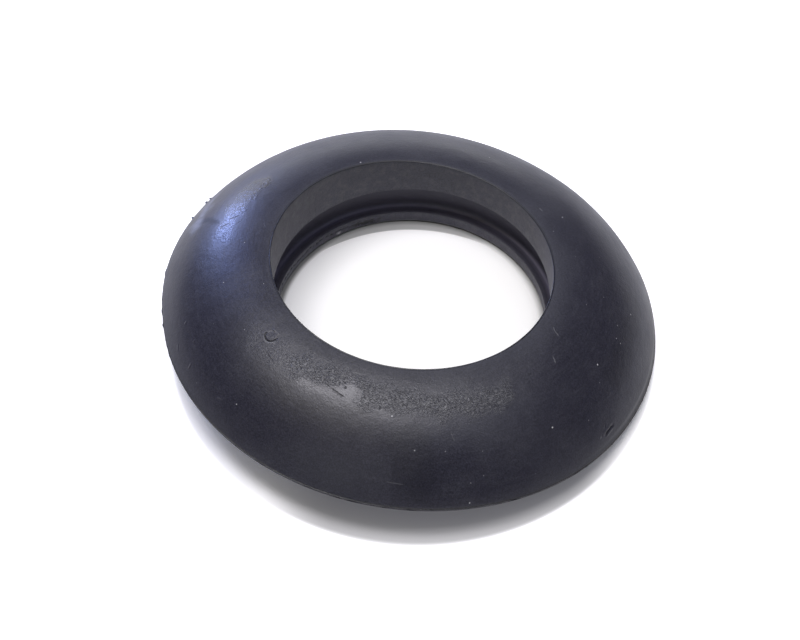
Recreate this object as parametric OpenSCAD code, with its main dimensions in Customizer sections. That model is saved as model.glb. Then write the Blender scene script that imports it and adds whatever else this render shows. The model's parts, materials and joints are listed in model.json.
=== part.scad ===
// Rubber grommet, one moulded piece. A domed flange and the neck under it share one leaning axis,
// so that both sit square to the panel. The bore is upright: it runs down through them into an
// internal groove, which a thin lip closes at the level base.
// Millimetres. Z is the axis of the bore, the base is at Z = 0, the flange is lowest on the +X side.

/* [Flange] */
// Outside diameter over the thin edge of the flange
flange_diameter = 90; // [75:0.5:120]
// Rise of the dome from the lower edge of the rim to its crest, along the flange axis
dome_height = 13.1; // [9:0.1:18]
// Upright band left round the edge of the rim
rim_land = 0.4; // [0.2:0.1:1.5]
// Lean of the flange and the neck against the bore, in degrees
flange_tilt = 5; // [0:0.25:8]
// Gap under the lowest point of the rim when the base stands on a flat surface
rim_clearance = 0.5; // [0.2:0.1:4]

/* [Bore] */
// Diameter of the plain bore that grips the pipe
bore_diameter = 49.8; // [40:0.1:62]

/* [Groove] */
// Height of the internal groove
groove_height = 6.3; // [4:0.1:8]
// Depth of the groove outside the bore
groove_depth = 2.2; // [1.2:0.1:4]
// Radius where the wall of the groove turns into its floor
groove_fillet = 0.9; // [0.3:0.1:1.1]

/* [Neck] */
// Thickness of the lip below the groove
lip_height = 2.6; // [1.2:0.1:4]
// How far the lip reaches in past the bore
lip_reach = 0.1; // [0:0.1:2]
// Rubber left between the groove and the outside of the neck
neck_wall = 3.6; // [2:0.1:6]
// Bevel round both lower edges of the neck
base_bevel = 0.4; // [0.1:0.1:1]

/* [Hidden] */
flange_r = flange_diameter / 2;
bore_r = bore_diameter / 2;
lip_r = bore_r - lip_reach;
groove_r = bore_r + groove_depth;
neck_r = groove_r + neck_wall;

// the plane of the rim crosses the axis of the bore at this height
rim_height = rim_clearance + flange_r * sin(flange_tilt);

// the crest of the dome lies just inside the bore, so the surface meets the bore almost level
crest_inset = 1;
crest_r = bore_r - crest_inset;
dome_rise = dome_height - rim_land;
dome_r = (pow(flange_r - crest_r, 2) + pow(dome_rise, 2)) / (2 * dome_rise);

// the lean carries the crest this far off the axis of the bore
crest_shift = dome_height * sin(flange_tilt);
// inner wall of the blank before it is bored, always within the bore
core_r = lip_r - crest_shift - 2 * crest_inset;
// the neck runs this far up into the flange
neck_overlap = 2;
// the leaning neck meets the level base this far off the axis of the bore
neck_shift = rim_height * tan(flange_tilt);
// length of the neck's blank, which reaches below the base on every side
neck_blank = rim_height / cos(flange_tilt) + neck_r * tan(flange_tilt) + base_bevel;
// cutters and trimmed blanks pass the faces they meet by this much
past = 1;
blank_top = rim_height + flange_r * sin(flange_tilt) + dome_height + past;

round_fn = 180;
fillet_fn = 48;

// places its children on the leaning plane of the rim
module on_rim_plane() {
    translate([0, 0, rim_height])
        rotate([0, flange_tilt, 0])
            children();
}

// half section of the flange: one arc from the rim over the crest
module flange_section() {
    intersection() {
        translate([crest_r, dome_height - dome_r])
            circle(r = dome_r, $fn = round_fn);
        translate([core_r, 0])
            square([flange_r - core_r, dome_height + past]);
    }
}

// half section of a cone that opens upwards from the base, and bevels the outer edge of the neck
module base_section() {
    polygon([
        [0, 0],
        [neck_r - base_bevel, 0],
        [neck_r - base_bevel + blank_top, blank_top],
        [0, blank_top]
    ]);
}

// half section of the groove, rounded where its wall meets its floor
module groove_section() {
    difference() {
        translate([0, lip_height])
            square([groove_r, groove_height]);
        difference() {
            translate([groove_r - groove_fillet, lip_height - past])
                square([groove_fillet + past, groove_fillet + past]);
            translate([groove_r - groove_fillet, lip_height + groove_fillet])
                circle(r = groove_fillet, $fn = fillet_fn);
        }
    }
}

// half section of the opening through the lip, bevelled at the base
module lip_section() {
    polygon([
        [0, -past],
        [lip_r + base_bevel + past, -past],
        [lip_r, base_bevel],
        [lip_r, lip_height + past],
        [0, lip_height + past]
    ]);
}

module flange() {
    on_rim_plane()
        rotate_extrude($fn = round_fn)
            flange_section();
}

// the neck is square to the flange, and is cut off level at the base
module neck() {
    intersection() {
        on_rim_plane()
            translate([0, 0, -neck_blank])
                cylinder(r = neck_r, h = neck_blank + neck_overlap, $fn = round_fn);
        translate([-neck_shift, 0, 0])
            rotate_extrude($fn = round_fn)
                base_section();
    }
}

// everything that is open inside: lip, groove and the bore above it
module passage() {
    rotate_extrude($fn = round_fn)
        lip_section();
    rotate_extrude($fn = round_fn)
        groove_section();
    translate([0, 0, lip_height + past])
        cylinder(r = bore_r, h = blank_top, $fn = round_fn);
}

module grommet() {
    color([0.17, 0.17, 0.19])
        difference() {
            union() {
                flange();
                neck();
            }
            passage();
        }
}

grommet();
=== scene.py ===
import json
import math
import random
import bmesh
import bpy
import numpy as np
from mathutils import Matrix, Vector


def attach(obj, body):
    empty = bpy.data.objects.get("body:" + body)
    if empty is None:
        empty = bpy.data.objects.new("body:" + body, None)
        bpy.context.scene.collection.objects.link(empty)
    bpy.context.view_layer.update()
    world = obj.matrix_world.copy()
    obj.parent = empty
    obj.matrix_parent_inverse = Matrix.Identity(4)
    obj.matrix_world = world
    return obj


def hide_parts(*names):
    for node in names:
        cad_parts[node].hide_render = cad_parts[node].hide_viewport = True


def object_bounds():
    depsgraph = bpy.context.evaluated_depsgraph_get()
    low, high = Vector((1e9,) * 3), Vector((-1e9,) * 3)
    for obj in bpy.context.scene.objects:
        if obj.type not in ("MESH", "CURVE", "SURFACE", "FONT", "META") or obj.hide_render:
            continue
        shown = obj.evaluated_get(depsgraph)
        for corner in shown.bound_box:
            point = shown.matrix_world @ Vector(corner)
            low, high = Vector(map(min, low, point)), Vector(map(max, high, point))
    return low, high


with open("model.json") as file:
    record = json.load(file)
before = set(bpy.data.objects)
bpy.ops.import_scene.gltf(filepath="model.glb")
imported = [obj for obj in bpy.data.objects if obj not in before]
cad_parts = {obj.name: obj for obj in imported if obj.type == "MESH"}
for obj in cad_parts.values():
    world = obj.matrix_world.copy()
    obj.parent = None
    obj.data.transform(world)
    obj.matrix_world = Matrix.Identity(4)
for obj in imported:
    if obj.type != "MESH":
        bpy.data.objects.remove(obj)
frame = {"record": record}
cadLow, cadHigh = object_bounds()
mm = 0.001
mounts = {m["name"]: m for m in frame["record"]["mounts"]}


cameraView = {
    "turn": 36.362,  # degrees, 0 looks along +Y and 90 along +X
    "pitch": 51.354,  # degrees below level
    "roll": 1.949,
    "distance": 299.18,  # mm
    "focal": 1625.09,  # in pixels, for a view 800 wide
    "aimX": 410.22,  # the pixel at which the foot of the bore's axis sits
    "aimY": 321.49,
    "width": 800,
    "height": 640,
    "sensor": 36,  # mm
    "clip": (0.01, 30),  # nearest and furthest that it sees, in m
}


def newObject(name, data):
    thing = bpy.data.objects.new(name, data)
    bpy.context.scene.collection.objects.link(thing)
    return thing


def placeCamera(v):
    turn, pitch, roll = (math.radians(v[name]) for name in ("turn", "pitch", "roll"))
    look = Vector((math.sin(turn) * math.cos(pitch), math.cos(turn) * math.cos(pitch), -math.sin(pitch)))
    level = Vector((math.cos(turn), -math.sin(turn), 0))
    rise = level.cross(look)
    right = math.cos(roll) * level + math.sin(roll) * rise
    up = math.cos(roll) * rise - math.sin(roll) * level
    away = v["distance"] * mm
    aside = (v["aimX"] - v["width"] / 2) / v["focal"] * away
    below = (v["aimY"] - v["height"] / 2) / v["focal"] * away
    lens = bpy.data.cameras.new("camera")
    lens.sensor_width = v["sensor"]
    lens.lens = v["focal"] / v["width"] * v["sensor"]
    lens.clip_start, lens.clip_end = v["clip"]
    camera = newObject("camera", lens)
    turned = Matrix((right, up, -look)).transposed().to_4x4()
    camera.matrix_world = Matrix.Translation(below * up - aside * right - away * look) @ turned
    bpy.context.scene.camera = camera


placeCamera(cameraView)
print("camera placed")


# the section of the ring, in mm, walked from the foot of the neck over the dome and down the bore
ring = {
    "domeHeight": 13.1,
    "crestInset": 1.0,  # the crest lies this far inside the bore
    "rimLand": 0.4,
    "neckWall": 3.6,
    "grooveHeight": 6.3,
    "grooveDepth": 2.2,
    "grooveFillet": 0.9,
    "lipHeight": 2.6,
    "footBevel": 0.4,
    "mouthSlit": (0.28, 0.07, 0.05),  # where the mould parted: mm before the mouth, half width, depth
    "rimSlit": (0.12, 0.05, 0.07),  # and the same up from the rim
    "marksFade": (0.5, 0.3),  # mm over which marks on the dome die out, at rim and mouth
    "wanderFade": 7.0,  # mm that the uneven rim reaches up the dome and under the flange
}

ringMesh = {
    "columns": 360,  # round the ring
    "finerAngle": (172, 268),  # degrees between which the crest gets twice the mesh
    "finerClimb": (11.5, 21),  # and between these, in mm up the dome
    "rimRows": (0.08, 0.12, 0.16, 0.24, 0.36),  # extra rows of mesh, in mm up from the rim
    "mouthRows": (0.22, 0.28, 0.34, 0.4, 0.52),  # and before the mouth of the bore
    "pit": 0.35, "gate": 1.5, "scratch": 0.28, "facet": 0.3, "speck": 0.18,  # mm of fine mesh round each
    "boxLength": 0.8,  # mm: a slanting mark is followed by boxes about this long
    "grow": (0.25, 0.08),  # mm round all of these, at the first and the second halving
    "flashHalf": 0.03,  # radians each side of a torn bit or a nick
    "tornHalf": 0.5,  # degrees each side of the largest torn bits
    "largestTorn": 3,  # how many of those, first in their list
    "meetSteps": 30,  # rounds of following a wall to the surface that it meets
    "spotSteps": 4,  # rounds of finding a mark in the flat pattern
    "mapRadius": 36,  # mm: the finish is laid on round a ring of this radius
    "seamGap": 1e-7,  # m: joins the two ends of the pattern
}

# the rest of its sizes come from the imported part
boreR = mounts["bore"]["dims"]["r_mm"]
lipR = mounts["lip_bore"]["dims"]["r_mm"]
rimR = (cadHigh.y - cadLow.y) / 2 / mm
facePlace = [p / mm for p in mounts["panel_face"]["pos_m"]]
lean = math.asin(-mounts["panel_face"]["axis"][0])
rimZ = facePlace[2] + facePlace[0] * math.tan(lean)
print("flange radius", round(rimR, 2), "lean", round(math.degrees(lean), 2))

grooveR = boreR + ring["grooveDepth"]
neckR = grooveR + ring["neckWall"]
crestR = boreR - ring["crestInset"]
domeRise = ring["domeHeight"] - ring["rimLand"]
domeR = ((rimR - crestR) ** 2 + domeRise ** 2) / (2 * domeRise)
domeStart = math.acos((rimR - crestR) / domeR)
neckShift = rimZ * math.tan(lean)

flangeX = np.array([math.cos(lean), 0, -math.sin(lean)])
flangeY = np.array([0, 1.0, 0])
flangeZ = np.array([math.sin(lean), 0, math.cos(lean)])


def wrapped(turn):
    return (turn + math.pi) % (2 * math.pi) - math.pi


def upright(radius, angle, height):
    radius, height = np.broadcast_to(radius, angle.shape), np.broadcast_to(height, angle.shape)
    return np.stack([radius * np.cos(angle), radius * np.sin(angle), height], axis=1)


def leaning(radius, angle, height):
    p = upright(radius, angle, height)
    return p[:, :1] * flangeX + p[:, 1:2] * flangeY + p[:, 2:] * flangeZ + np.array([0, 0, rimZ])


def inFlange(point):
    # radius, angle and height of a point about the leaning axis
    p = point - np.array([0, 0, rimZ])
    x, y = p @ flangeX, p @ flangeY
    return np.hypot(x, y), np.arctan2(y, x), p @ flangeZ


def domeHeightAt(radius):
    return ring["domeHeight"] - domeR + np.sqrt(domeR ** 2 - (radius - crestR) ** 2)


def boreMouth(angle):
    # the upright bore is followed up until it meets the leaning dome
    z = np.full(angle.shape, rimZ + ring["domeHeight"])
    for _ in range(ringMesh["meetSteps"]):
        radius, _, height = inFlange(upright(boreR, angle, z))
        z = z + domeHeightAt(radius) - height
    return upright(boreR, angle, z)


def neckFoot(angle):
    # the leaning neck is followed down until it meets the bevel at its base
    height = np.full(angle.shape, -rimZ)
    for _ in range(ringMesh["meetSteps"]):
        p = leaning(neckR, angle, height)
        bevelZ = np.hypot(p[:, 0] + neckShift, p[:, 1]) - (neckR - ring["footBevel"])
        height = height + bevelZ - p[:, 2]
    return leaning(neckR, angle, height)


lip, bevel, fillet = ring["lipHeight"], ring["footBevel"], ring["grooveFillet"]
roofZ = lip + ring["grooveHeight"]
domeLength = domeR * (math.pi / 2 - domeStart)

# each corner of the section: mm to the next one, roughly, rows on the way, and how soft it is in mm
walk = [
    ("footOutside", 0.55, 1, 0.1),
    ("neckFoot", 4.3, 4, 0.1),
    ("neckTop", 14.3, 12, 0.7),
    ("rimUnder", ring["rimLand"], 7, 0.04),
    ("rimTop", domeLength, 50, 0.05),
    ("boreMouth", 8.6, 12, 0.16),
    ("roofInside", ring["grooveDepth"], 2, 0.12),
    ("roofOutside", ring["grooveHeight"] - fillet, 6, 0.25),
    ("filletTop", fillet * math.pi / 2, 6, 0),
    ("filletEnd", ring["grooveDepth"] + 0.1 - fillet, 2, 0),
    ("lipTop", lip - bevel, 8, 0.12),
    ("lipFoot", 0.55, 2, 0.08),
    ("footInside", 5.1, 4, 0.08),
]
cornerAt = np.concatenate([[0], np.cumsum([w[1] for w in walk])])
sectionLength = float(cornerAt[-1])
stretchOf = {w[0]: i for i, w in enumerate(walk)}
stationOf = {w[0]: float(at) for w, at in zip(walk, cornerAt)}
underAt, rimAt = stationOf["rimUnder"], stationOf["rimTop"]
mouthAt, lipAt = stationOf["boreMouth"], stationOf["lipTop"]


def sectionCorners(angle):
    # every corner of the section at these angles, and the first one again at the end
    foot = upright(neckR - bevel, angle, 0) - np.array([neckShift, 0, 0])
    corners = [
        foot,
        neckFoot(angle),
        leaning(neckR, angle, 0),
        leaning(rimR, angle, 0),
        leaning(rimR, angle, ring["rimLand"]),
        boreMouth(angle),
        upright(boreR, angle, roofZ),
        upright(grooveR, angle, roofZ),
        upright(grooveR, angle, lip + fillet),
        upright(grooveR - fillet, angle, lip),
        upright(lipR, angle, lip),
        upright(lipR, angle, bevel),
        upright(lipR + bevel, angle, 0),
        foot,
    ]
    return np.stack(corners)


def domeSpot(angle, part, mouth):
    # a spot on the dome, from part 0 at the rim to 1 at the bore, with its own angle and climb
    mouthR, mouthAngle, _ = inFlange(mouth)
    swing = domeStart + part * (np.arccos((mouthR - crestR) / domeR) - domeStart)
    ownAngle = angle + part * wrapped(mouthAngle - angle)
    place = leaning(crestR + domeR * np.cos(swing), ownAngle,
                    ring["domeHeight"] - domeR + domeR * np.sin(swing))
    return place, ownAngle, domeR * (swing - domeStart)


def sharpSection(angle, station, corners):
    stretch = np.clip(np.searchsorted(cornerAt, station, side="right") - 1, 0, len(walk) - 1)
    part = (station - cornerAt[stretch]) / (cornerAt[stretch + 1] - cornerAt[stretch])
    n = np.arange(len(angle))
    place = corners[stretch, n] * (1 - part[:, None]) + corners[stretch + 1, n] * part[:, None]
    onDome = stretch == stretchOf["rimTop"]
    mouth = corners[stretchOf["boreMouth"]]
    place[onDome] = domeSpot(angle[onDome], part[onDome], mouth[onDome])[0]
    onFillet = stretch == stretchOf["filletTop"]
    bend = part[onFillet] * math.pi / 2
    place[onFillet] = upright(grooveR - fillet + fillet * np.cos(bend), angle[onFillet],
                              lip + fillet - fillet * np.sin(bend))
    return place


def section(angle, station):
    # the sharp section with each corner rounded off by its softness
    station = np.mod(station, sectionLength)
    corners = sectionCorners(angle)
    place = sharpSection(angle, station, corners)
    for i, (_, _, _, soft) in enumerate(walk):
        if soft == 0:
            continue
        off = station - cornerAt[i]
        if i == 0:
            off = np.where(off > sectionLength / 2, off - sectionLength, off)
        near = np.abs(off) < soft
        a, c = angle[near], corners[:, near]
        before = sharpSection(a, np.full(a.shape, (cornerAt[i] - soft) % sectionLength), c)
        after = sharpSection(a, np.full(a.shape, cornerAt[i] + soft), c)
        t = ((off[near] + soft) / (2 * soft))[:, None]
        place[near] = (1 - t) ** 2 * before + 2 * t * (1 - t) * c[i] + t ** 2 * after
    return place


def sectionRows():
    # stations of the rows: even along each stretch, and closer where a corner is soft
    rows = []
    for i, (_, length, count, soft) in enumerate(walk):
        start, end = cornerAt[i], cornerAt[i + 1]
        nextSoft = walk[(i + 1) % len(walk)][3]
        if soft:
            rows += [start, start + soft * 0.5]
        rows += list(np.linspace(start + soft, end - nextSoft, count + 1))
        if nextSoft:
            rows += [end - nextSoft * 0.5]
    rows.append(sectionLength)
    rows += [rimAt + up for up in ringMesh["rimRows"]]
    rows += [mouthAt - back for back in ringMesh["mouthRows"]]
    return sorted(set(round(r, 6) for r in rows))


# marks on the dome are placed by degrees round the flange and mm up the dome from the rim
gateMark = {
    "at": (183.0, 18.3),
    "radius": 1.13,
    "cutWidth": 0.125,
    "cutDepth": 0.18,
    "cutFaces": -75,  # the cut is open on the other side
    "cutFade": (-0.3, 0.3),
    "cutDark": 1.1,
    "burrOut": 0.2,  # mm from the cut out to the burr round it
    "burrWidth": 0.1,
    "burrHeight": 0.04,
    "burrFade": (0.1, 0.8),
    "burrPale": 1.3,
    "slope": 0.035,  # the cut face falls away to the back
    "slopeFade": (1.0, 0.8),
    "nubs": [((182.2, 19.25), 0.30, 0.11), ((183.9, 19.35), 0.20, 0.08)],  # where, how wide and how high
    "nubLength": 0.13,
    "nubPale": 0.8,
}

smallMarks = {
    "scratchFade": 0.2,  # share of its length over which a scratch comes in
    "scratchEnd": 0.3,  # and what is left of it at its very end
    "scratchBurr": 0.25,  # the ridge beside it, as a share of its depth
    "pitDark": 0.8,
    "speckHeight": 0.03,  # mm
}

# from, to, width, depth, and how pale (+) or dark (-) it has turned
scratches = [
    ((208.9, 16.75), (213.7, 16.15), 0.09, 0.045, -1.0),  # beside the bright facet
    ((205.4, 17.3), (208.9, 16.75), 0.08, 0.03, -0.7),
    ((205.9, 17.6), (207.9, 17.35), 0.11, 0.04, -0.5),
    ((204.2, 18.4), (206.4, 17.9), 0.10, 0.03, -0.3),
    ((239.1, 18.5), (237.3, 17.6), 0.10, 0.03, 0.9),
    ((237.3, 17.6), (236.1, 16.2), 0.09, 0.03, 0.7),
    ((229.3, 19.0), (231.4, 17.9), 0.08, 0.02, 0.6),
    ((227.6, 18.9), (229.4, 17.8), 0.07, 0.02, 0.5),
    ((222.6, 18.6), (227.2, 17.9), 0.07, 0.02, 0.4),
    ((217.6, 17.7), (226.3, 18.7), 0.06, 0.02, 0.35),
    ((219.0, 19.6), (220.5, 19.1), 0.09, 0.03, -0.5),
    ((232.9, 20.7), (234.2, 20.2), 0.07, 0.02, 0.35),
    ((241.5, 19.9), (245.0, 17.9), 0.07, 0.02, 0.3),
    ((246.0, 17.4), (250.4, 15.6), 0.08, 0.02, 0.3),
    ((243.6, 13.0), (244.4, 11.5), 0.08, 0.02, 0.45),
    ((228.8, 4.4), (232.8, 4.2), 0.09, 0.02, 0.35),
    ((283.4, 19.2), (282.2, 17.9), 0.09, 0.03, 0.6),  # right of the front
    ((293.1, 22.5), (292.0, 21.9), 0.08, 0.03, 0.6),
    ((292.0, 21.9), (291.2, 20.8), 0.08, 0.03, 0.5),
    ((356.0, 23.0), (357.8, 23.1), 0.10, 0.02, 0.8),
    ((283.6, 2.5), (286.9, 2.8), 0.22, 0.14, -0.9),  # the gouge above the edge
    ((283.8, 2.1), (286.6, 2.4), 0.10, -0.04, 0.45),
    ((282.0, 2.5), (282.4, 2.8), 0.12, 0.04, 0.7),
    ((284.1, 3.5), (284.7, 3.9), 0.12, 0.04, -0.5),
    ((172.2, 3.9), (172.5, 2.9), 0.16, -0.07, 0.2),  # small raised bumps on the left
    ((165.0, 2.9), (166.3, 2.4), 0.16, -0.06, 0.15),
    ((161.6, 6.3), (161.9, 5.9), 0.16, -0.06, 0.15),
    ((168.0, 6.8), (168.3, 6.3), 0.15, -0.05, 0.0),
    ((184.1, 4.3), (185.1, 4.7), 0.14, -0.04, 0.1),
    ((186.3, 15.7), (190.2, 15.2), 0.13, 0.03, -0.35),  # below the gate mark
    ((133.6, 13.3), (132.2, 15.0), 0.09, 0.03, -0.8),  # on the cool side
    ((130.4, 14.6), (129.0, 16.4), 0.09, 0.03, -0.7),
    ((133.1, 16.5), (131.4, 17.4), 0.09, 0.03, -0.3),
    ((133.9, 13.4), (132.6, 14.2), 0.08, 0.02, -0.3),
    ((132.5, 21.6), (134.5, 22.2), 0.07, 0.02, 0.3),
]

# where, how wide and how deep
pits = [
    ((212.7, 17.8), 0.20, 0.08), ((212.1, 18.6), 0.15, 0.05), ((216.3, 18.7), 0.16, 0.06),
    ((224.3, 16.0), 0.18, 0.07), ((207.1, 17.9), 0.12, 0.04), ((218.3, 16.4), 0.13, 0.04),
    ((208.2, 19.5), 0.12, 0.04), ((210.9, 19.5), 0.14, 0.04), ((221.0, 17.0), 0.14, 0.05),
    ((230.7, 17.0), 0.14, 0.04),
]

# specks of pale dust: where, how wide, and how white
dustSpecks = [
    ((227.8, 15.1), 0.11, 0.9), ((234.5, 9.9), 0.10, 0.45), ((242.0, 9.8), 0.10, 0.22),
    ((247.1, 0.9), 0.09, 0.8), ((247.5, 4.3), 0.09, 0.25), ((250.6, 5.2), 0.08, 0.3),
    ((251.1, 9.2), 0.08, 0.18), ((270.5, 9.2), 0.11, 1), ((280.8, 6.7), 0.08, 0.25),
    ((289.8, 10.2), 0.08, 0.2), ((293.2, 12.5), 0.11, 1), ((189.3, 5.9), 0.10, 0.6),
    ((175.7, 15.3), 0.09, 0.2), ((316.4, 9.7), 0.10, 0.6), ((309.3, 12.3), 0.09, 0.45),
    ((305.1, 11.7), 0.09, 0.5), ((304.8, 10.55), 0.09, 0.45), ((309.9, 19.1), 0.08, 0.25),
    ((316.2, 16.1), 0.08, 0.25), ((350.9, 20.1), 0.10, 0.7), ((344.2, 23.7), 0.08, 0.3),
    ((28.9, 18.1), 0.08, 0.4), ((79.4, 24.3), 0.11, 0.8), ((141.9, 19.1), 0.09, 0.5),
    ((156.5, 15.1), 0.09, 0.4), ((162.4, 21.8), 0.08, 0.3),
]

# where the ring has been rubbed: one smooth facet, given by its corners, and stripes, given by from, to,
# half width and strength. Among the stripes, the cool edge is a painted reflection and the darker
# patches are partly painted shade
rubbed = {
    "facet": [(209.3, 17.2), (210.2, 16.6), (213.6, 16.2), (218.4, 15.95), (218.2, 18.3), (213.6, 18.9)],
    "band": [((181.0, 16.5), (198.0, 17.6), 2.4, 0.4), ((198.0, 17.6), (209.0, 18.8), 1.7, 1),
             ((219.5, 18.2), (232.0, 17.8), 2.0, 1), ((232.0, 17.8), (260.0, 17.2), 1.8, 0.9)],
    "pecked": [((203.5, 18.1), (212.0, 19.4), 1.1, 0.9), ((213.0, 19.5), (219.5, 18.9), 0.7, 0.6)],
    "shine": [((194.5, 16.6), (203.0, 15.6), 1.5, 0.6), ((203.0, 15.6), (217.0, 15.0), 1.1, 0.3),
              ((112.0, 15.2), (126.0, 14.7), 2.0, 1), ((126.0, 14.7), (136.5, 14.6), 2.0, 1)],
    # painted reflection: a bluish streak near the left edge, where the cool window would be reflected
    "paintedCoolReflection": [((116.0, 4.6), (122.5, 5.6), 0.9, 0.8), ((122.5, 5.8), (129.6, 6.0), 1.1, 1)],
    "smears": [((127.8, 7.9), (130.9, 12.3), 0.55, 0.8), ((131.5, 9.8), (137.5, 10.8), 1.5, 0.35)],
    # darker patches without the film; the right one is painted shade where the highlight falls off
    "bare": [((232.5, 11.5), (235.5, 4.5), 3.2, 0.8), ((296.0, 9.0), (322.0, 9.2), 2.2, 0.9)],
    "facetShine": 0.8,
    "facetSoft": 0.2,  # mm
    "stripeSoft": 1.3,  # mm, at most
    "bandOverShine": 0.6,  # how far the scratched band takes the shine away
    "coolBreaks": (-3.5, 1.0),
}

rimFlash = {
    "along": 0.45,  # the parting line, as a share of the height of the edge
    "thickness": 0.09,
    "height": 0.06,
    "even": 0.5,  # the share of that height that is there all round
    "most": 2,  # and the most of it
    "setBack": 0.03,
    # degrees, how far out or in, and half width, both in mm
    "torn": [(112.6, 0.5, 0.32), (114.2, 0.5, 0.34), (120.4, 0.42, 0.3), (151.6, 0.14, 0.7),
             (155.8, 0.18, 0.4), (139.4, 0.12, 0.9), (73.0, 0.16, 0.8), (21.0, 0.22, 0.9),
             (26.2, 0.18, 0.5), (17.0, 0.2, 0.5)],
    "nicks": [(219.1, 0.12, 0.5), (222.2, 0.14, 0.6), (229.2, 0.12, 0.4), (234.4, 0.12, 0.7),
              (257.2, 0.16, 0.8), (201.3, 0.1, 0.6), (273.0, 0.12, 0.5)],
    "dark": 0.3,
    "tornDark": 6,
}

# a pale fringe left on the edge, about one angle in degrees
rimFringe = {"at": 214, "wide": 26, "height": 0.3, "breaks": (-0.6, 0.8), "pale": 0.55}

# painted shade and highlight about another angle: the edge is painted dark, with a pale line above it as a
# painted highlight
paintedRimShadeAndHighlight = {
    "at": 308, "wide": 24, "dark": 1.2,
    "before": 0.1,  # mm under the edge
    "past": (0.75, 0.4),  # mm up the dome
    "lineAt": 1.05, "lineHalf": 0.32, "highlightPale": 0.6,
}

# the flange is not quite round: degrees, mm outward, and how many degrees wide
unevenRim = [(272, 0.28, 22), (326, -0.18, 12), (14, 0.12, 16), (58, -0.20, 14), (154, -0.22, 10)]

lipFlash = {
    "from": 64, "to": 136, "fade": 8,  # degrees
    "height": 1.6, "half": 0.2, "depth": 0.16, "dark": 1.3,
    "even": 0.55, "most": 1.4,  # how torn it is all along, and at most
}
# the deepest tear
lipGap = {
    "at": 75.5, "width": 2.6, "height": 1.05, "half": 0.4,
    "slope": 0.08, "share": 1.2, "breaks": (-1.2, -0.2),
}
lipChip = {"at": 88.6, "width": 0.5, "height": 1.0, "half": 0.22, "lift": 0.18, "pale": 0.9, "dust": 0.35}

# lines along the section: finish, corner that the line follows, mm past it, half width and strength
edgeLines = [
    ("dark", "rimTop", 0.12, 0.12, 1.4),
    # painted shade: a dark line along the mouth of the bore, by the parting slit
    ("dark", "boreMouth", -0.14, 0.2, 1.2),
    ("pale", "boreMouth", -0.55, 0.12, 0.06),
    # painted highlight: a pale line on the groove's fillet, where it would catch the light
    ("fillet", "filletTop", 1.05, 0.45, 1),
]

# finishes that hold from one corner to another, and the mm past each over which they come in and go out
edgeStretches = [
    # painted shade: the top of the lip, deep in the groove, is darkened
    ("dark", 0.5, "filletEnd", (-0.2, 0.2), "lipTop", (0.45, 0.15)),
    # painted light: the foot of the lip and the rows past it are made paler, standing in for light from
    # the floor
    ("pale", 0.6, "lipFoot", (-0.25, 0), "lipFoot", (0.9, 0.4)),
    ("inside", 1, "boreMouth", (-0.05, 0.25), "footInside", (0.6, 0)),
    # painted light: the groove, from under its roof to the top of the lip, is made paler to stand in for
    # the dim light in it
    ("deep", 1, "roofInside", (-0.1, 0.3), "lipTop", (0.1, -0.1)),
]

# sums of waves: height, seed, waves round the ring, most waves to the mm up it, and how many
waves = {
    "swell": (0.035, 3, (2, 9), 0.05, 14),
    "dimples": (0.005, 4, (18, 70), 0.25, 24),
    "facetEdge": (0.13, 11, (150, 400), 1.0, 24),
    "stripeEdge": (0.45, 12, (10, 60), 0.3, 24),
    "paintedCoolReflection": (1, 14, (60, 260), 0.5, 20),
    "rimFin": (0.8, 21, (20, 160), 0, 30),
    "rimFringe": (1, 22, (60, 300), 0, 30),
    "lipTearHeight": (0.25, 31, (8, 60), 0, 20),
    "lipTear": (0.6, 33, (40, 200), 0.4, 24),
    "lipGrain": (0.01, 35, (60, 240), 0.5, 20),
    "lipGap": (1, 36, (120, 400), 0.9, 24),
}


def smooth(low, high, value):
    t = np.clip((value - low) / (high - low), 0, 1)
    return t * t * (3 - 2 * t)


def radiusAtClimb(climb):
    return crestR + domeR * np.cos(domeStart + climb / domeR)


def turnFrom(angle, degrees):
    return wrapped(angle - math.radians(degrees))


def fromSpot(angle, climb, at):
    # mm round the ring and mm up the dome from a spot
    return turnFrom(angle, at[0]) * radiusAtClimb(climb), climb - at[1]


def spotFrom(start, end):
    x, y = fromSpot(np.array([math.radians(end[0])]), np.array([end[1]]), start)
    return float(x[0]), float(y[0])


def fromLine(angle, climb, start, end):
    # distance from a straight scratch, and how far along it each point is, 0 to 1
    lineX, lineY = spotFrom(start, end)
    x, y = fromSpot(angle, climb, start)
    along = np.clip((x * lineX + y * lineY) / (lineX ** 2 + lineY ** 2), 0, 1)
    return np.hypot(x - along * lineX, y - along * lineY), along


def ripples(name, angle, climb=0.0):
    # a smooth uneven field that closes on itself round the ring
    height, seed, turns, perMm, count = waves[name]
    chance = random.Random(seed)
    total = np.zeros(angle.shape)
    for _ in range(count):
        wave = chance.randint(*turns) * angle + chance.uniform(-1, 1) * perMm * 2 * math.pi * climb
        total += np.cos(wave + chance.uniform(0, 2 * math.pi))
    return height * (total / math.sqrt(count))


blunt = 4  # the power of a band with a flat top and steep sides


def band(value, at, half, power=2):
    return np.exp(-((value - at) / half) ** power)


def markGate(angle, climb):
    # the mark of the moulding gate: its cut, the burr round that and two nubs
    g = gateMark
    x, y = fromSpot(angle, climb, g["at"])
    off = np.hypot(x, y)
    facing = np.cos(np.arctan2(y, x) - math.radians(g["cutFaces"]))
    cut = band(off, g["radius"], g["cutWidth"]) * smooth(*g["cutFade"], facing)
    burr = band(off, g["radius"] + g["burrOut"], g["burrWidth"]) * smooth(*g["burrFade"], facing)
    lift = g["burrHeight"] * burr - g["cutDepth"] * cut + g["slope"] * x * smooth(*g["slopeFade"], off)
    pale = g["burrPale"] * burr
    for at, width, height in g["nubs"]:
        x, y = fromSpot(angle, climb, at)
        nub = band(x, 0, width) * band(y, 0, g["nubLength"])
        lift += height * nub
        pale += g["nubPale"] * nub
    return lift, pale, g["cutDark"] * cut


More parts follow.
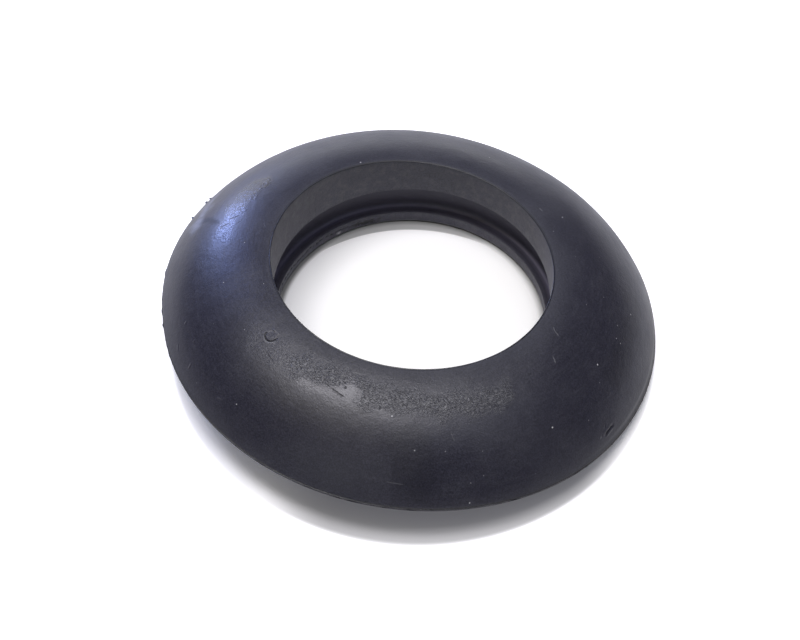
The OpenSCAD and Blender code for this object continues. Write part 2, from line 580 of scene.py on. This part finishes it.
def onFacet(angle, climb):
    # the facet is a flat-sided patch: a spot is inside when it is inside every side of it
    first = rubbed["facet"][0]
    corners = [spotFrom(first, corner) for corner in rubbed["facet"]]
    x, y = fromSpot(angle, climb, first)
    sides = []
    for (ax, ay), (bx, by) in zip(corners, corners[1:] + corners[:1]):
        sides.append(((x - ax) * (by - ay) - (y - ay) * (bx - ax)) / math.hypot(bx - ax, by - ay))
    outside = np.max(sides, axis=0) + ripples("facetEdge", angle, climb)
    return rubbed["facetShine"] * smooth(rubbed["facetSoft"], -rubbed["facetSoft"], outside)


def markDome(angle, climb):
    # height of every mark on the dome in mm, and how far each finish shows
    lift, pale, dark = markGate(angle, climb)
    lift += ripples("swell", angle, climb) + ripples("dimples", angle, climb)
    dust = np.zeros(angle.shape)
    fade, least = smallMarks["scratchFade"], smallMarks["scratchEnd"]
    for start, end, width, depth, tone in scratches:
        off, along = fromLine(angle, climb, start, end)
        ends = smooth(0, fade, along) * smooth(0, fade, 1 - along) * (1 - least) + least
        line = band(off, 0, width) * ends
        lift -= depth * line - smallMarks["scratchBurr"] * depth * band(off, 2 * width, width) * ends
        pale += max(tone, 0) * line
        dark += max(-tone, 0) * line
    for at, width, depth in pits:
        hole = band(np.hypot(*fromSpot(angle, climb, at)), 0, width)
        lift -= depth * hole
        dark += smallMarks["pitDark"] * hole
    for at, width, white in dustSpecks:
        speck = band(np.hypot(*fromSpot(angle, climb, at)), 0, width, blunt)
        lift += smallMarks["speckHeight"] * speck
        dust += white * speck

    uneven = ripples("stripeEdge", angle, climb)

    def stripe(name):
        shown = np.zeros(angle.shape)
        for start, end, half, strength in rubbed[name]:
            off = fromLine(angle, climb, start, end)[0]
            soft = min(rubbed["stripeSoft"], half)
            shown = np.maximum(shown, strength * smooth(half + soft, half - soft, off + soft * uneven))
        return shown

    facet = onFacet(angle, climb)
    scuffed = stripe("band") * (1 - facet)
    shown = {
        "pale": pale,
        "dark": dark,
        "dust": dust,
        "facet": facet,
        "scuffed": scuffed,
        "brushed": stripe("shine") * (1 - facet) * (1 - rubbed["bandOverShine"] * scuffed),
        "smeared": stripe("smears"),
        "pecked": stripe("pecked") * (1 - facet),
        # the cool streak is a painted reflection of the cool window
        "cool": stripe("paintedCoolReflection") * smooth(*rubbed["coolBreaks"], ripples("paintedCoolReflection", angle, climb)),
        "bare": stripe("bare"),
    }
    return lift, shown


def markEdge(angle, station):
    # flash on the edge of the rim, with torn bits and nicks: its height, and how dark it is
    f = rimFlash
    fin = band(station, underAt + f["along"] * ring["rimLand"], f["thickness"])
    height = f["height"] * np.clip(f["even"] + ripples("rimFin", angle), 0, f["most"])
    bits, sunk = np.zeros(angle.shape), np.zeros(angle.shape)
    for at, high, width in f["torn"]:
        bits += high * band(turnFrom(angle, at) * rimR, 0, width, blunt)
    for at, deep, width in f["nicks"]:
        sunk += deep * band(turnFrom(angle, at) * rimR, 0, width)
    return fin * (height + bits) - sunk - f["setBack"], f["dark"] + f["tornDark"] * fin * bits


def rimWander(angle):
    total = np.zeros(angle.shape)
    for at, outward, width in unevenRim:
        total += outward * np.exp(-(turnFrom(angle, at) / math.radians(width)) ** 2)
    return total


def markLip(angle, station):
    # the thin lip was torn from its flash along part of its edge
    f = lipFlash
    height = lip - (station - lipAt)
    turned = np.degrees(angle) % 360
    along = smooth(f["from"], f["from"] + f["fade"], turned) * smooth(f["to"], f["to"] - f["fade"], turned)
    torn = band(height, f["height"] + ripples("lipTearHeight", angle), f["half"]) * along
    torn *= np.clip(f["even"] + ripples("lipTear", angle, height), 0, f["most"])
    x = turnFrom(angle, lipGap["at"]) * lipR
    middle = lipGap["height"] + lipGap["slope"] * x
    gap = band(x, 0, lipGap["width"], blunt) * band(height, middle, lipGap["half"], blunt)
    gap *= smooth(*lipGap["breaks"], ripples("lipGap", angle, height))
    torn = np.maximum(torn, lipGap["share"] * gap)
    x = turnFrom(angle, lipChip["at"]) * lipR
    chip = band(x, 0, lipChip["width"], blunt) * band(height, lipChip["height"], lipChip["half"])
    lift = lipChip["lift"] * chip - f["depth"] * torn + ripples("lipGrain", angle, height)
    return lift, {"pale": lipChip["pale"] * chip, "dust": lipChip["dust"] * chip, "dark": f["dark"] * torn}


def inPattern(at):
    # where a spot on the dome falls in the flat pattern
    own = np.array([math.radians(at[0])])
    angle = own
    for _ in range(ringMesh["spotSteps"]):
        mouthR, mouthAngle = inFlange(boreMouth(angle))[:2]
        part = at[1] / domeR / (np.arccos((mouthR - crestR) / domeR) - domeStart)
        angle = own - part * wrapped(mouthAngle - angle)
    return float(angle[0]), float(rimAt + part[0] * (mouthAt - rimAt))


def boxRound(start, end, reach):
    # left, right, bottom and top of a box in the flat pattern
    half = reach / float(radiusAtClimb(np.array((start[1] + end[1]) / 2)))
    (a, low), (b, high) = inPattern(start), inPattern(end)
    return min(a, b) - half, max(a, b) + half, min(low, high) - reach, max(low, high) + reach


def boxesAlong(start, end, reach):
    # small boxes that follow a slanting mark
    count = math.ceil(math.hypot(*spotFrom(start, end)) / ringMesh["boxLength"])
    stops = np.linspace(start, end, max(2, count + 1))
    return [boxRound(a, b, reach) for a, b in zip(stops, stops[1:])]


def grown(boxes, by):
    turn = by / crestR
    return [(left - turn, right + turn, bottom - by, top + by) for left, right, bottom, top in boxes]


def refine(bm, boxes):
    # halves the mesh inside any of the boxes
    edges = set()
    for f in bm.faces:
        c = f.calc_center_median()
        if any(left < c.x < right and bottom < c.y < top for left, right, bottom, top in boxes):
            edges.update(f.edges)
    bmesh.ops.subdivide_edges(bm, edges=list(edges), cuts=1, use_grid_fill=True)


def flatPattern():
    # the ring laid flat, finer where there are marks: x goes once round it, y once along the section
    m = ringMesh
    bm = bmesh.new()
    turns = np.linspace(0, 2 * math.pi, m["columns"] + 1)
    grid = [[bm.verts.new((x, y, 0)) for x in turns] for y in sectionRows()]
    for low, high in zip(grid, grid[1:]):
        for i in range(len(turns) - 1):
            bm.faces.new((low[i], low[i + 1], high[i + 1], high[i]))

    left, right = (math.radians(a) for a in m["finerAngle"])
    bottom, top = (rimAt + climb for climb in m["finerClimb"])
    refine(bm, [(left, right, bottom, top)])
    spots = [boxRound(pit[0], pit[0], m["pit"]) for pit in pits]
    spots += [boxRound(speck[0], speck[0], m["speck"]) for speck in dustSpecks]
    spots.append(boxRound(gateMark["at"], gateMark["at"], m["gate"]))
    for start, end, *_ in scratches:
        spots += boxesAlong(start, end, m["scratch"])
    for corner, following in zip(rubbed["facet"], rubbed["facet"][1:] + rubbed["facet"][:1]):
        spots += boxesAlong(corner, following, m["facet"])
    edge = (underAt, rimAt)
    flashes = [(math.radians(f[0]) - m["flashHalf"], math.radians(f[0]) + m["flashHalf"], *edge)
               for f in rimFlash["torn"] + rimFlash["nicks"]]
    largest = [(math.radians(f[0] - m["tornHalf"]), math.radians(f[0] + m["tornHalf"]), *edge)
               for f in rimFlash["torn"][:m["largestTorn"]]]
    lipEdge = (math.radians(lipFlash["from"]), math.radians(lipFlash["to"]), lipAt, lipAt + lip)
    coarse = [box for box in spots if not (left < box[0] < right and bottom < box[2] < top)]
    refine(bm, grown(coarse, m["grow"][0]))
    refine(bm, grown(spots, m["grow"][1]) + flashes + [lipEdge])
    refine(bm, spots + largest)
    bmesh.ops.triangulate(bm, faces=[f for f in bm.faces if len(f.verts) > 4])
    return bm


def outwardOf(angle, station):
    step = 1e-3
    alongRing = section(angle + step, station) - section(angle - step, station)
    alongSection = section(angle, station + step) - section(angle, station - step)
    outward = np.cross(alongRing, alongSection)
    return outward / np.linalg.norm(outward, axis=1)[:, None]


finishNames = ("pale", "dark", "dust", "cool", "scuffed", "facet", "brushed", "smeared", "pecked", "bare",
               "inside", "deep", "fillet")


def markRing(angle, station):
    # lift in mm and how far each finish shows, all round the section, with the dome's own angle and climb
    looks = {name: np.zeros(len(angle)) for name in finishNames}
    lift, climb, ownAngle = np.zeros(len(angle)), np.zeros(len(angle)), angle.copy()

    dome = (station >= rimAt) & (station <= mouthAt)
    part = (station[dome] - rimAt) / (mouthAt - rimAt)
    ownAngle[dome], climb[dome] = domeSpot(angle[dome], part, boreMouth(angle[dome]))[1:]
    lift[dome], shown = markDome(ownAngle[dome], climb[dome])
    for name, value in shown.items():
        looks[name][dome] = value
    rimFade, mouthFade = ring["marksFade"]
    lift *= smooth(0, rimFade, station - rimAt) * smooth(0, mouthFade, mouthAt - station)
    back, half, depth = ring["mouthSlit"]
    lift -= depth * band(station, mouthAt - back, half) * dome
    up, half, depth = ring["rimSlit"]
    lift -= depth * band(station, rimAt + up, half) * dome

    edge = (station >= underAt) & (station <= rimAt)
    lift[edge], looks["dark"][edge] = markEdge(angle[edge], station[edge])
    fringe = band(turnFrom(angle, rimFringe["at"]), 0, math.radians(rimFringe["wide"])) * edge
    fringe *= smooth(underAt + rimFringe["height"], underAt, station)
    looks["pale"] += rimFringe["pale"] * fringe * smooth(*rimFringe["breaks"], ripples("rimFringe", angle))
    # painted shade on the edge and a painted highlight just above the rim, about one angle
    side = band(turnFrom(angle, paintedRimShadeAndHighlight["at"]), 0, math.radians(paintedRimShadeAndHighlight["wide"]), blunt)
    sidePaintedShade = side * smooth(underAt - paintedRimShadeAndHighlight["before"], underAt, station)
    looks["dark"] += paintedRimShadeAndHighlight["dark"] * sidePaintedShade * smooth(*paintedRimShadeAndHighlight["past"], station - rimAt)
    sidePaintedHighlight = band(station, rimAt + paintedRimShadeAndHighlight["lineAt"], paintedRimShadeAndHighlight["lineHalf"])
    looks["pale"] += paintedRimShadeAndHighlight["highlightPale"] * side * sidePaintedHighlight

    lipPart = (station >= lipAt) & (station <= stationOf["lipFoot"])
    lift[lipPart], shown = markLip(angle[lipPart], station[lipPart])
    for name, value in shown.items():
        looks[name][lipPart] += value
    for name, corner, past, half, strength in edgeLines:
        looks[name] += strength * band(station, stationOf[corner] + past, half)
    for name, strength, first, fadeIn, last, fadeOut in edgeStretches:
        shown = smooth(*fadeIn, station - stationOf[first]) * smooth(*fadeOut, station - stationOf[last])
        looks[name] += strength * shown
    return lift, looks, ownAngle, climb, dome


def buildRing():
    bm = flatPattern()
    flat = np.array([v.co[:] for v in bm.verts])
    angle, station = flat[:, 0], flat[:, 1]
    lift, looks, ownAngle, climb, dome = markRing(angle, station)

    # the rim's wander dies out part way up the dome and under the flange
    reach = ring["wanderFade"]
    held = smooth(reach, 0, station - rimAt) * smooth(-reach, 0, station - underAt)
    spread = upright(rimWander(angle) * held, angle, 0)
    place = (section(angle, station) + outwardOf(angle, station) * lift[:, None] + spread) * mm

    # two maps for the finish, both in mm: along the section all round, and the dome unrolled
    mapR = ringMesh["mapRadius"]
    along = np.where(dome, rimAt + climb, station)
    flow = upright(mapR, ownAngle, along)
    unrolled = np.stack([mapR * (ownAngle % (2 * math.pi)), climb, 0 * climb], axis=1)
    layers = [(bm.verts.layers.float.new(name), values) for name, values in looks.items()]
    layers += [(bm.verts.layers.float_vector.new("flow"), flow),
               (bm.verts.layers.float_vector.new("unrolled"), unrolled)]
    for i, v in enumerate(bm.verts):
        v.co = place[i]
        for layer, values in layers:
            v[layer] = values[i]
    bmesh.ops.remove_doubles(bm, verts=bm.verts, dist=ringMesh["seamGap"])
    for f in bm.faces:
        f.smooth = True
    mesh = bpy.data.meshes.new("rubberGrommet")
    bm.to_mesh(mesh)
    triangles = sum(len(f.verts) - 2 for f in bm.faces)
    openEdges = sum(len(e.link_faces) != 2 for e in bm.edges)
    bm.free()
    print("ring built,", triangles, "triangles,", openEdges, "open edges")
    return newObject("rubberGrommet", mesh)


grommet = buildRing()
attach(grommet, "root")
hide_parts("grommet")


rubberLook = {
    "colours": {
        "body": (0.0235, 0.0231, 0.0350),
        "bloom": (0.038, 0.038, 0.050),  # the greyer film that rubber gets with age
        "boreWall": (0.042, 0.041, 0.062),
        # painted light: paler colour in the groove
        "deepGroove": (0.043, 0.040, 0.063),
        # painted highlight on the groove's fillet
        "fillet": (0.190, 0.178, 0.260),
        "scuffed": (0.040, 0.040, 0.049),
        # pale and dark serve marks and wear, and also the painted highlights and painted shade along the
        # rim, the mouth and the lip
        "pale": (0.170, 0.170, 0.180),
        "dark": (0.009, 0.009, 0.012),
        "dust": (0.85, 0.85, 0.87),
        # painted reflection of the cool window, for the streak near the left edge
        "cool": (0.40, 0.45, 0.64),
    },
    # repeats to the mm, detail, roughness and bend; those with three numbers follow the section round the
    # ring, drawn out along it
    "patterns": {
        "clouds": (0.11, 4, 0.55, 0),
        "mottle": (0.9, 3, 0.6, 0),
        "grain": (4.0, 2, 0.6, 0),
        "curl": (1.7, 2, 0.55, 1.3),
        "pebble": (2.2, 2, 0.6, 0.4),
        "wallClouds": (0.55, 4, 0.68, 0),
        "streaks": ((0.22, 0.22, 2.4), 3, 0.6, 0),
        "drawn": ((1.0, 1.0, 2.4), 2, 0.6, 0.6),
        "ruffled": ((1.9, 1.9, 4.2), 2, 0.55, 0.8),
        "stains": ((1.3, 1.3, 0.16), 3, 0.6, 0),
    },
    # lines on the unrolled dome: repeats to the mm, detail, roughness, and turns in degrees
    "hairlines": ((0.5, 7.5, 1), 2, 0.5, (34, -28, 72)),
    "strokes": ((2.3, 6.0, 1), 2, 0.6, (-14,)),
    "pinpoints": 0.42,
    # where a pattern starts to show and where it shows in full, and the values that it then runs between
    "fades": {
        "filmClouds": (0.35, 0.7), "filmMottle": (0.3, 0.75, 0.35, 1.0), "chalk": (0.52, 0.64),
        "filmStreaks": (0.52, 0.75, 0.0, 0.35), "hairlines": (0.59, 0.67), "strokes": (0.53, 0.60),
        "hairlineMottle": (0.35, 0.6, 0.3, 1.0),
        "pinpointChosen": (0.80, 0.82), "pinpointSize": (0.062, 0.030),
        "grainTone": (0.3, 0.7, 0.73, 1.27), "curlTone": (0.3, 0.7, 0.92, 1.08),
        "stains": (0.56, 0.72), "stainClouds": (0.45, 0.6), "wallClouds": (0.42, 0.72, 0.0, 0.22),
        "cloudRoughness": (0.3, 0.7, 0.355, 0.425), "grainRoughness": (0.3, 0.7, -0.03, 0.03),
        "streakRoughness": (0.4, 0.7, -0.025, 0.03),
    },
    # how strongly each finish shows
    "strengths": {
        "film": 0.5, "bandStrokes": 0.7, "grainLostInside": 0.1, "bare": 0.3, "stains": 0.5,
        "scuffed": 0.6, "smeared": 0.7, "chalk": 0.6, "worn": 0.65, "wornRoughness": 0.12,
        "pinpoint": 0.45, "pale": 0.75, "dark": 0.8, "cool": 0.35, "dust": 1.0,
    },
    "roughness": {
        "inside": 0.46, "facet": 0.32, "brushed": 0.20, "scuffed": 0.38, "smeared": 0.60, "strokes": 0.60,
    },
    # how high each pattern stands, in mm
    "heights": {
        "grain": 0.011, "curl": 0.018, "drawn": 0.016, "mottle": 0.03, "worn": -0.016, "strokes": -0.06,
        "scuffedPebble": 0.10, "facetPebble": 0.02, "brushedRuffle": 0.052,
    },
}


def addNode(tree, kind, inputs=None, **settings):
    node = tree.nodes.new("ShaderNode" + kind)
    for name, value in settings.items():
        setattr(node, name, value)
    for name, value in (inputs or {}).items():
        if isinstance(value, bpy.types.NodeSocket):
            tree.links.new(value, node.inputs[name])
        else:
            node.inputs[name].default_value = value
    return node


def newMaterial(name):
    material = bpy.data.materials.new(name)
    material.use_nodes = True
    material.node_tree.nodes.clear()
    return material, material.node_tree


def nodeTools(tree):
    # what both finishes use: a soft step, a mix of colours, and sums of sockets or plain numbers
    def fade(value, low, high, newLow=0.0, newHigh=1.0):
        inputs = {"Value": value, "From Min": low, "From Max": high, "To Min": newLow, "To Max": newHigh}
        return addNode(tree, "MapRange", inputs, interpolation_type="SMOOTHSTEP").outputs["Result"]

    def blend(factor, under, over, how="MIX"):
        under, over = ((*c, 1) if isinstance(c, tuple) else c for c in (under, over))
        inputs = {"Factor": factor, "A": under, "B": over}
        return addNode(tree, "Mix", inputs, data_type="RGBA", blend_type=how).outputs["Result"]

    def sumOf(operation):
        def made(a, b, clamp=False):
            return addNode(tree, "Math", {0: a, 1: b}, operation=operation, use_clamp=clamp).outputs[0]
        return made

    return fade, blend, [sumOf(kind) for kind in ("ADD", "SUBTRACT", "MULTIPLY", "DIVIDE", "MAXIMUM")]


def rubberFinish(look):
    material, tree = newMaterial("charcoalRubber")
    fade, blend, (plus, minus, times, _, larger) = nodeTools(tree)

    def layer(name, kind="Fac"):
        return addNode(tree, "Attribute", attribute_name=name).outputs[kind]

    def noise(vector, scale, detail, roughness, bend=0.0, **more):
        inputs = {"Vector": vector, "Scale": scale, "Detail": detail, "Roughness": roughness}
        return addNode(tree, "TexNoise", {**inputs, "Distortion": bend}, **more).outputs["Fac"]

    def stretched(vector, scale, turn=0):
        inputs = {"Vector": vector, "Scale": scale, "Rotation": (0, 0, math.radians(turn))}
        return addNode(tree, "Mapping", inputs).outputs["Vector"]

    def faded(value, name):
        return fade(value, *look["fades"][name])

    def part(value, name, clamp=False):
        return times(value, look["strengths"][name], clamp)

    place = stretched(addNode(tree, "TexCoord").outputs["Object"], (1 / mm, 1 / mm, 1 / mm))
    flow, unrolled = layer("flow", "Vector"), layer("unrolled", "Vector")
    facet, brushed, smeared, bare = layer("facet"), layer("brushed"), layer("smeared"), layer("bare")
    scuffed, inside = layer("scuffed"), layer("inside")

    def pattern(name):
        scale, *rest = look["patterns"][name]
        if isinstance(scale, tuple):
            return noise(stretched(flow, scale), 1.0, *rest)
        return noise(place, scale, *rest)

    def linesOf(name):
        scale, detail, roughness, turns = look[name]
        shown = 0.0
        for turn in turns:
            across = stretched(unrolled, scale, turn)
            lines = noise(across, 1.0, detail, roughness, noise_dimensions="2D")
            shown = larger(shown, faded(lines, name))
        return shown

    clouds, mottle, grain, curl = pattern("clouds"), pattern("mottle"), pattern("grain"), pattern("curl")
    streaks, pebble = pattern("streaks"), pattern("pebble")

    # uneven film, in clouds and in faint streaks round the ring
    film = times(faded(clouds, "filmClouds"), faded(mottle, "filmMottle"))
    film = times(plus(part(film, "film"), faded(streaks, "filmStreaks"), True), minus(1.0, bare))

    # fine cross scratches over the rubbed patch, with short dark strokes between them
    worn = times(scuffed, times(linesOf("hairlines"), faded(mottle, "hairlineMottle")))
    strokes = times(plus(part(scuffed, "bandStrokes"), layer("pecked"), True), linesOf("strokes"))

    # scattered pinpoint specks
    cells = addNode(tree, "TexVoronoi", {"Vector": place, "Scale": look["pinpoints"], "Randomness": 1.0})
    red = addNode(tree, "SeparateColor", {"Color": cells.outputs["Color"]}).outputs["Red"]
    pinpoint = times(faded(cells.outputs["Distance"], "pinpointSize"), faded(red, "pinpointChosen"))

    # the bare rubber with its grain, then coats of colour up to the dust
    colours = look["colours"]
    colour = blend(inside, blend(film, colours["body"], colours["bloom"]), colours["boreWall"])
    grainShown = minus(1.0, part(inside, "grainLostInside"))
    colour = blend(grainShown, colour, faded(grain, "grainTone"), "MULTIPLY")
    colour = blend(1.0, colour, faded(curl, "curlTone"), "MULTIPLY")
    stains = times(faded(pattern("stains"), "stains"), faded(clouds, "stainClouds"))
    chalk = times(part(scuffed, "chalk"), faded(pebble, "chalk"))
    coats = [
        # the darker patches, partly painted shade
        (part(bare, "bare"), "dark"),
        (times(inside, part(stains, "stains")), "dark"),
        (times(inside, faded(pattern("wallClouds"), "wallClouds")), "pale"),
        # painted light in the groove
        (layer("deep"), "deepGroove"),
        # painted highlight on the groove's fillet
        (layer("fillet"), "fillet"),
        (part(scuffed, "scuffed"), "scuffed"),
        (larger(strokes, part(smeared, "smeared")), "dark"),
        (larger(chalk, part(worn, "worn")), "pale"),
        # these pale and dark coats also carry the painted highlights and painted shade set along the
        # section
        (part(layer("pale"), "pale", True), "pale"),
        (part(layer("dark"), "dark", True), "dark"),
        (part(pinpoint, "pinpoint"), "pale"),
        # painted reflection: the bluish streak near the left edge
        (part(layer("cool"), "cool", True), "cool"),
        (part(layer("dust"), "dust", True), "dust"),
    ]
    for coat, name in coats:
        colour = blend(coat, colour, colours[name])

    rough = faded(clouds, "cloudRoughness")
    rough = plus(rough, faded(grain, "grainRoughness"))
    rough = plus(rough, faded(streaks, "streakRoughness"))
    patches = {"inside": inside, "facet": facet, "brushed": brushed, "scuffed": scuffed,
               "smeared": smeared, "strokes": strokes}
    for name, patch in patches.items():
        rough = plus(times(rough, minus(1.0, patch)), times(patch, look["roughness"][name]))
    rough = plus(rough, part(worn, "wornRoughness"), True)

    # moulding grain, drawn out round the ring and curly where wiped by hand
    reliefs = {
        "grain": grain, "curl": curl, "drawn": pattern("drawn"), "mottle": mottle, "worn": worn,
        "strokes": strokes, "scuffedPebble": times(pebble, scuffed), "facetPebble": times(pebble, facet),
        "brushedRuffle": times(pattern("ruffled"), brushed),
    }
    height = 0.0
    for name, relief in reliefs.items():
        height = plus(height, times(relief, look["heights"][name]))
    bump = addNode(tree, "Bump", {"Height": times(height, mm), "Strength": 1.0, "Distance": 1.0})
    inputs = {"Base Color": colour, "Roughness": rough, "Normal": bump.outputs["Normal"]}
    shader = addNode(tree, "BsdfPrincipled", inputs)
    addNode(tree, "OutputMaterial", {"Surface": shader.outputs["BSDF"]})
    print("rubber finish made,", len(tree.nodes), "nodes")
    return material


grommet.data.materials.append(rubberFinish(rubberLook))


studio = {
    "floorRings": (0.1, 0.3, 0.8, 3.0),  # m
    "floorSides": 96,
    "floorDrop": 0.02,  # mm: it lies this far under the foot
    "floorTint": (0.86, 0.86, 0.87),  # as the light sees it
    "floorShown": (1.07, 1.07, 1.05),  # as the camera sees it
    "shadeTint": 0.45,  # the share of that in the shadow before the front
    "shadeGlow": 0.11,  # soft light that the camera sees in the shadow
    "glowTint": (0.95, 0.94, 1.05),
    "openGlow": 0.45,  # and outside it, where the floor is plain white
    "shadeAngle": 245,  # degrees: the shadow lies this way
    "shadeShift": 3.67,  # mm
    "shadeRadius": (43.1, 44.6),
    "frontWedge": (0.70, 0.90),  # cosines of the angles from it where it starts and is full
    "lipShade": (23.3, 24.5, 0.2),  # mm: it darkens again close to the lip
    "lipShadeRight": (23.3, 25.3, 0.25),  # less far in on the right
    "lipShadeBack": (23.7, 24.9, 0.6),  # and straight behind, under a firmer shadow
    "rightAngle": -20,
    "rightWedge": (0.60, 0.84),
    "backAngle": 60,
    "backWedge": (0.70, 0.88),
    "castShift": 5.9,  # mm: that shadow's own circle, and how dark it is
    "castRadius": (28.3, 28.75, 0.44),
    "surroundings": (0.0, 0.0, 0.0),  # as the light sees it
    "backdrop": (1.0, 1.0, 1.0),  # as the camera sees it
    "lampDistance": 1.6,  # m
}

# each lamp's angle round, height above the floor and half widths, all in degrees, its watts and its tint
lamps = {
    "overhead": (0, 89, (12, 12), 11.8, (0.95, 0.93, 1)),
    "overheadMain": (128, 71, (9, 9), 8.3, (0.94, 0.92, 1)),
    "overheadBroad": (120, 75, (30, 30), 3.6, (0.99, 1, 0.61)),
    "nearSide": (300, 68, (20, 20), 3.2, (0.81, 0.85, 1)),
    "leftSide": (180, 66, (20, 20), 1.3, (1, 0.87, 0.76)),
    "coolWindow": (88, 16, (6, 9), 10.2, (0.37, 0.48, 1)),
    "coolUpper": (88, 34, (9, 9), 0.9, (0.30, 0.38, 1)),
    "backPanel": (60, 5, (26, 7), 4.75, (0.96, 0.97, 1)),
    "sidePanel": (40, 50, (14, 14), 2.05, (0.89, 0.92, 1)),
    "frontGlow": (296, 35, (14, 14), 0.45, (1, 1, 1)),
    "leftFill": (210, 28, (16, 16), 1.5, (0.97, 1, 0.99)),
}


def floorFinish(s):
    material, tree = newMaterial("paleFloor")
    fade, blend, (plus, minus, times, over, larger) = nodeTools(tree)
    seen = addNode(tree, "LightPath").outputs["Is Camera Ray"]

    def vector(operation, a, b=(0, 0, 0), result="Vector"):
        return addNode(tree, "VectorMath", {0: a, 1: b}, operation=operation).outputs[result]

    def lengthOf(a):
        return vector("LENGTH", a, result="Value")

    spot = vector("MULTIPLY", addNode(tree, "TexCoord").outputs["Object"], (1, 1, 0))
    reach = lengthOf(spot)

    def heading(degrees, length=1.0):
        return math.cos(math.radians(degrees)) * length, math.sin(math.radians(degrees)) * length, 0

    def facing(degrees, start, end):
        return fade(over(vector("DOT_PRODUCT", spot, heading(degrees), "Value"), reach), start, end)

    def closeTo(start, end, least):
        return fade(reach, start * mm, end * mm, 1.0, least)

    def mixed(factor, under, upper):
        return plus(times(under, minus(1.0, factor)), times(upper, factor))

    # the shadow before the front
    fromShade = lengthOf(vector("SUBTRACT", spot, heading(s["shadeAngle"], s["shadeShift"] * mm)))
    clear = fade(fromShade, *(r * mm for r in s["shadeRadius"]))
    outer = fade(reach, lipR * mm, neckR * mm)
    shaded = times(times(facing(s["shadeAngle"], *s["frontWedge"]), outer), minus(1.0, clear))
    shown = blend(shaded, s["floorShown"], tuple(c * s["shadeTint"] for c in s["floorShown"]))

    # the shade close to the lip, seen through the bore
    right = facing(s["rightAngle"], *s["rightWedge"])
    close = mixed(right, closeTo(*s["lipShade"]), closeTo(*s["lipShadeRight"]))
    fromCast = lengthOf(vector("ADD", spot, heading(s["backAngle"], s["castShift"] * mm)))
    low, high, least = s["castRadius"]
    behind = times(fade(fromCast, low * mm, high * mm, 1.0, least), closeTo(*s["lipShadeBack"]))
    close = mixed(facing(s["backAngle"], *s["backWedge"]), close, behind)
    shown = blend(1.0, shown, larger(close, outer), "MULTIPLY")

    diffuse = addNode(tree, "BsdfDiffuse", {"Color": blend(seen, s["floorTint"], shown)})
    strength = times(fade(clear, 0.0, 1.0, s["shadeGlow"], s["openGlow"]), times(outer, seen))
    glow = addNode(tree, "Emission", {"Color": (*s["glowTint"], 1), "Strength": strength})
    both = addNode(tree, "AddShader", {0: diffuse.outputs["BSDF"], 1: glow.outputs["Emission"]})
    addNode(tree, "OutputMaterial", {"Surface": both.outputs["Shader"]})
    return material


def layFloor(s):
    bm = bmesh.new()
    turns = [2 * math.pi * i / s["floorSides"] for i in range(s["floorSides"])]
    middle, before = bm.verts.new((0, 0, 0)), None
    for radius in s["floorRings"]:
        line = [bm.verts.new((radius * math.cos(turn), radius * math.sin(turn), 0)) for turn in turns]
        for i in range(len(line)):
            j = (i + 1) % len(line)
            inner = (before[j], before[i]) if before else (middle,)
            bm.faces.new((line[i], line[j], *inner))
        before = line
    mesh = bpy.data.meshes.new("floor")
    bm.to_mesh(mesh)
    bm.free()
    mesh.materials.append(floorFinish(s))
    floor = newObject("floor", mesh)
    floor.location.z = -s["floorDrop"] * mm


def hangLamp(name, angle, height, half, power, tint, distance):
    lamp = bpy.data.lights.new(name, "AREA")
    across, tall = (2 * distance * math.tan(math.radians(h)) for h in half)
    lamp.shape = "ELLIPSE" if across == tall else "RECTANGLE"
    lamp.size, lamp.size_y = across, tall
    lamp.energy = power
    lamp.color = tint
    angle, height = math.radians(angle), math.radians(height)
    level = math.cos(height)
    toward = Vector((math.cos(angle) * level, math.sin(angle) * level, math.sin(height)))
    thing = newObject(name, lamp)
    thing.location = toward * distance
    thing.rotation_euler = toward.to_track_quat("Z", "Y").to_euler()


def lightWorld(s):
    world = bpy.data.worlds.new("studio")
    world.use_nodes = True
    tree = world.node_tree
    seen = addNode(tree, "LightPath").outputs["Is Camera Ray"]
    blend = nodeTools(tree)[1]
    tree.links.new(blend(seen, s["surroundings"], s["backdrop"]), tree.nodes["Background"].inputs["Color"])
    bpy.context.scene.world = world


layFloor(studio)
for name, lamp in lamps.items():
    hangLamp(name, *lamp, studio["lampDistance"])
lightWorld(studio)
bpy.context.scene.view_settings.view_transform = "Standard"
print("floor and lights set")
